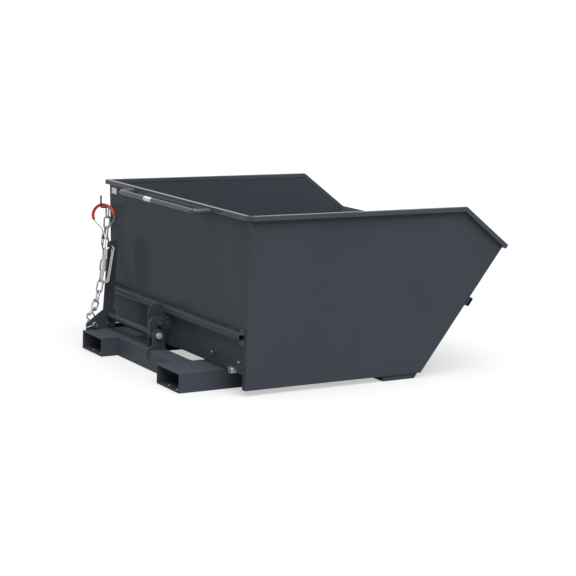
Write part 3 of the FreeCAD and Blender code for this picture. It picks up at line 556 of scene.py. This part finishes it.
small_bead = 0.0022
large_bead = 0.0024
beam_rear = -134.5
beam_front = -54.5
beam_foot = 4
beam_top = 80
pocket_inner = 263
chain_bracket_y = 446.5
chain_bracket_x = (-198, -60)
latch_bracket_ys = (41.5, 50.5, -22.5)
latch_bracket_x = (-100, -56)
base_beads = [bead(*[at(x, chain_bracket_y, beam_top) for x in chain_bracket_x], small_bead)]
for y in (-pocket_inner, pocket_inner):
    corner = at(beam_rear, y, beam_top)
    base_beads.append(bead(at(beam_rear, y, beam_foot), corner, large_bead))
    base_beads.append(bead(corner, at(beam_front, y, beam_top), large_bead))
for y in latch_bracket_ys:
    base_beads.append(bead(*[at(x, y, beam_top) for x in latch_bracket_x], small_bead))
weld("base_welds", base_beads, "base")

handle_level = 698
handle_ends = (-334, 352)
handle_radius = 0.0105
rim_face = -28.66
peg_foot = at(-9.9, 600, 597)
peg_radius = 0.004
rail_top = 252
rail_wall = -3.97
stitch = 55
stitch_starts = range(-520, 560, 208)
skip_beads = [ring_bead(at(rim_face, y, handle_level), handle_radius, small_bead)
              for y in handle_ends]
skip_beads.append(ring_bead(peg_foot, peg_radius, small_bead))
for y in stitch_starts:
    ends = [at(rail_wall, y, rail_top), at(rail_wall, y + stitch, rail_top)]
    skip_beads.append(bead(*ends, large_bead))
weld("skip_welds", skip_beads, "skip")


# Handle band: a blank strip of white plastic film, a little proud of the tube.
# It is wrapped once round the grip and stuck down.
band_radius = 0.01065
grip_x = -97.66
band_ys = range(36, 103, 6)
band_line = [at(grip_x, y, handle_level) for y in band_ys]
band_white = surfaced("white_film", coat_skin,
                      {"Tint": (0.62, 0.66, 0.69, 1), "Cloud": 0.12, "Matt": 0.30},
                      bump=0.03, depth=0.0002)
band = tubes("handle_band", [(band_line, [band_radius] * len(band_line))], sides=32)
band.data.materials.append(band_white)
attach(band, "skip")


# Stage: a pale seamless floor under an even white sky and one very broad overhead light, so that
# the background is white and the floor keeps only the skip's soft shadow. The long lens stands
# where the photograph was taken from.
def backdrop_rays(tree):
    """Mask of the rays that see the white backdrop: camera, mirror and glass rays."""
    rays = tree.nodes.new("ShaderNodeLightPath").outputs
    seen = worked(tree, "MAXIMUM", rays["Is Camera Ray"], rays["Is Glossy Ray"])
    return worked(tree, "MAXIMUM", seen, rays["Is Transmission Ray"])


floor_reach = 40
floor_corners = [(-floor_reach, -floor_reach, 0), (floor_reach, -floor_reach, 0),
                 (floor_reach, floor_reach, 0), (-floor_reach, floor_reach, 0)]
floor_mesh = bpy.data.meshes.new("floor")
floor_mesh.from_pydata(floor_corners, [], [(0, 1, 2, 3)])
floor = bpy.data.objects.new("floor", floor_mesh)
bpy.context.scene.collection.objects.link(floor)
floor_paint = bpy.data.materials.new("pale_floor")
floor_paint.use_nodes = True
floor_tree = floor_paint.node_tree
floor_shader = floor_tree.nodes["Principled BSDF"]
floor_shader.inputs["Base Color"].default_value = (0.36, 0.36, 0.36, 1)
floor_shader.inputs["Roughness"].default_value = 0.8
floor_shader.inputs["Emission Color"].default_value = (1, 1, 1, 1)
floor_lift = 0.51
floor_glow = worked(floor_tree, "MULTIPLY", backdrop_rays(floor_tree), floor_lift)
feed(floor_tree, floor_shader.inputs["Emission Strength"], floor_glow)
floor_mesh.materials.append(floor_paint)

sky = bpy.data.worlds.new("studio")
sky.use_nodes = True
bpy.context.scene.world = sky
sky_shader = sky.node_tree.nodes["Background"]
sky_shader.inputs["Color"].default_value = (1, 1, 1, 1)
sky_light = 0.36
sky_seen = 1.0
sky_level = ranged(sky.node_tree, backdrop_rays(sky.node_tree), wanted=(sky_light, sky_seen))
feed(sky.node_tree, sky_shader.inputs["Strength"], sky_level)

lamp = bpy.data.lights.new("overhead", "SUN")
lamp.energy = 3.6
lamp.angle = math.radians(70)
overhead = bpy.data.objects.new("overhead", lamp)
light_run = Vector((0.07, 0.36, -0.93))
overhead.rotation_euler = light_run.to_track_quat("-Z", "Y").to_euler()
bpy.context.scene.collection.objects.link(overhead)

picture_side = 576
focal_pixels = 1659.31
camera_place = Vector((-3.66907, -6.06692, 1.55216))
yaw = math.radians(31.42)
dip = math.radians(10.02)
roll = math.radians(1.95)
lens = bpy.data.cameras.new("camera")
lens.sensor_width = 36.0
lens.lens = focal_pixels / picture_side * lens.sensor_width
lens.clip_end = 200.0
ahead = Vector((math.sin(yaw) * math.cos(dip), math.cos(yaw) * math.cos(dip), -math.sin(dip)))
level_right = Vector((math.cos(yaw), -math.sin(yaw), 0))
level_up = level_right.cross(ahead)
right = level_right * math.cos(roll) + level_up * math.sin(roll)
up = level_up * math.cos(roll) - level_right * math.sin(roll)
camera = bpy.data.objects.new("camera", lens)
camera.matrix_world = Matrix(((right.x, up.x, -ahead.x, camera_place.x),
                              (right.y, up.y, -ahead.y, camera_place.y),
                              (right.z, up.z, -ahead.z, camera_place.z), (0, 0, 0, 1)))
bpy.context.scene.collection.objects.link(camera)
bpy.context.scene.camera = camera
bpy.context.scene.view_settings.view_transform = "Standard"
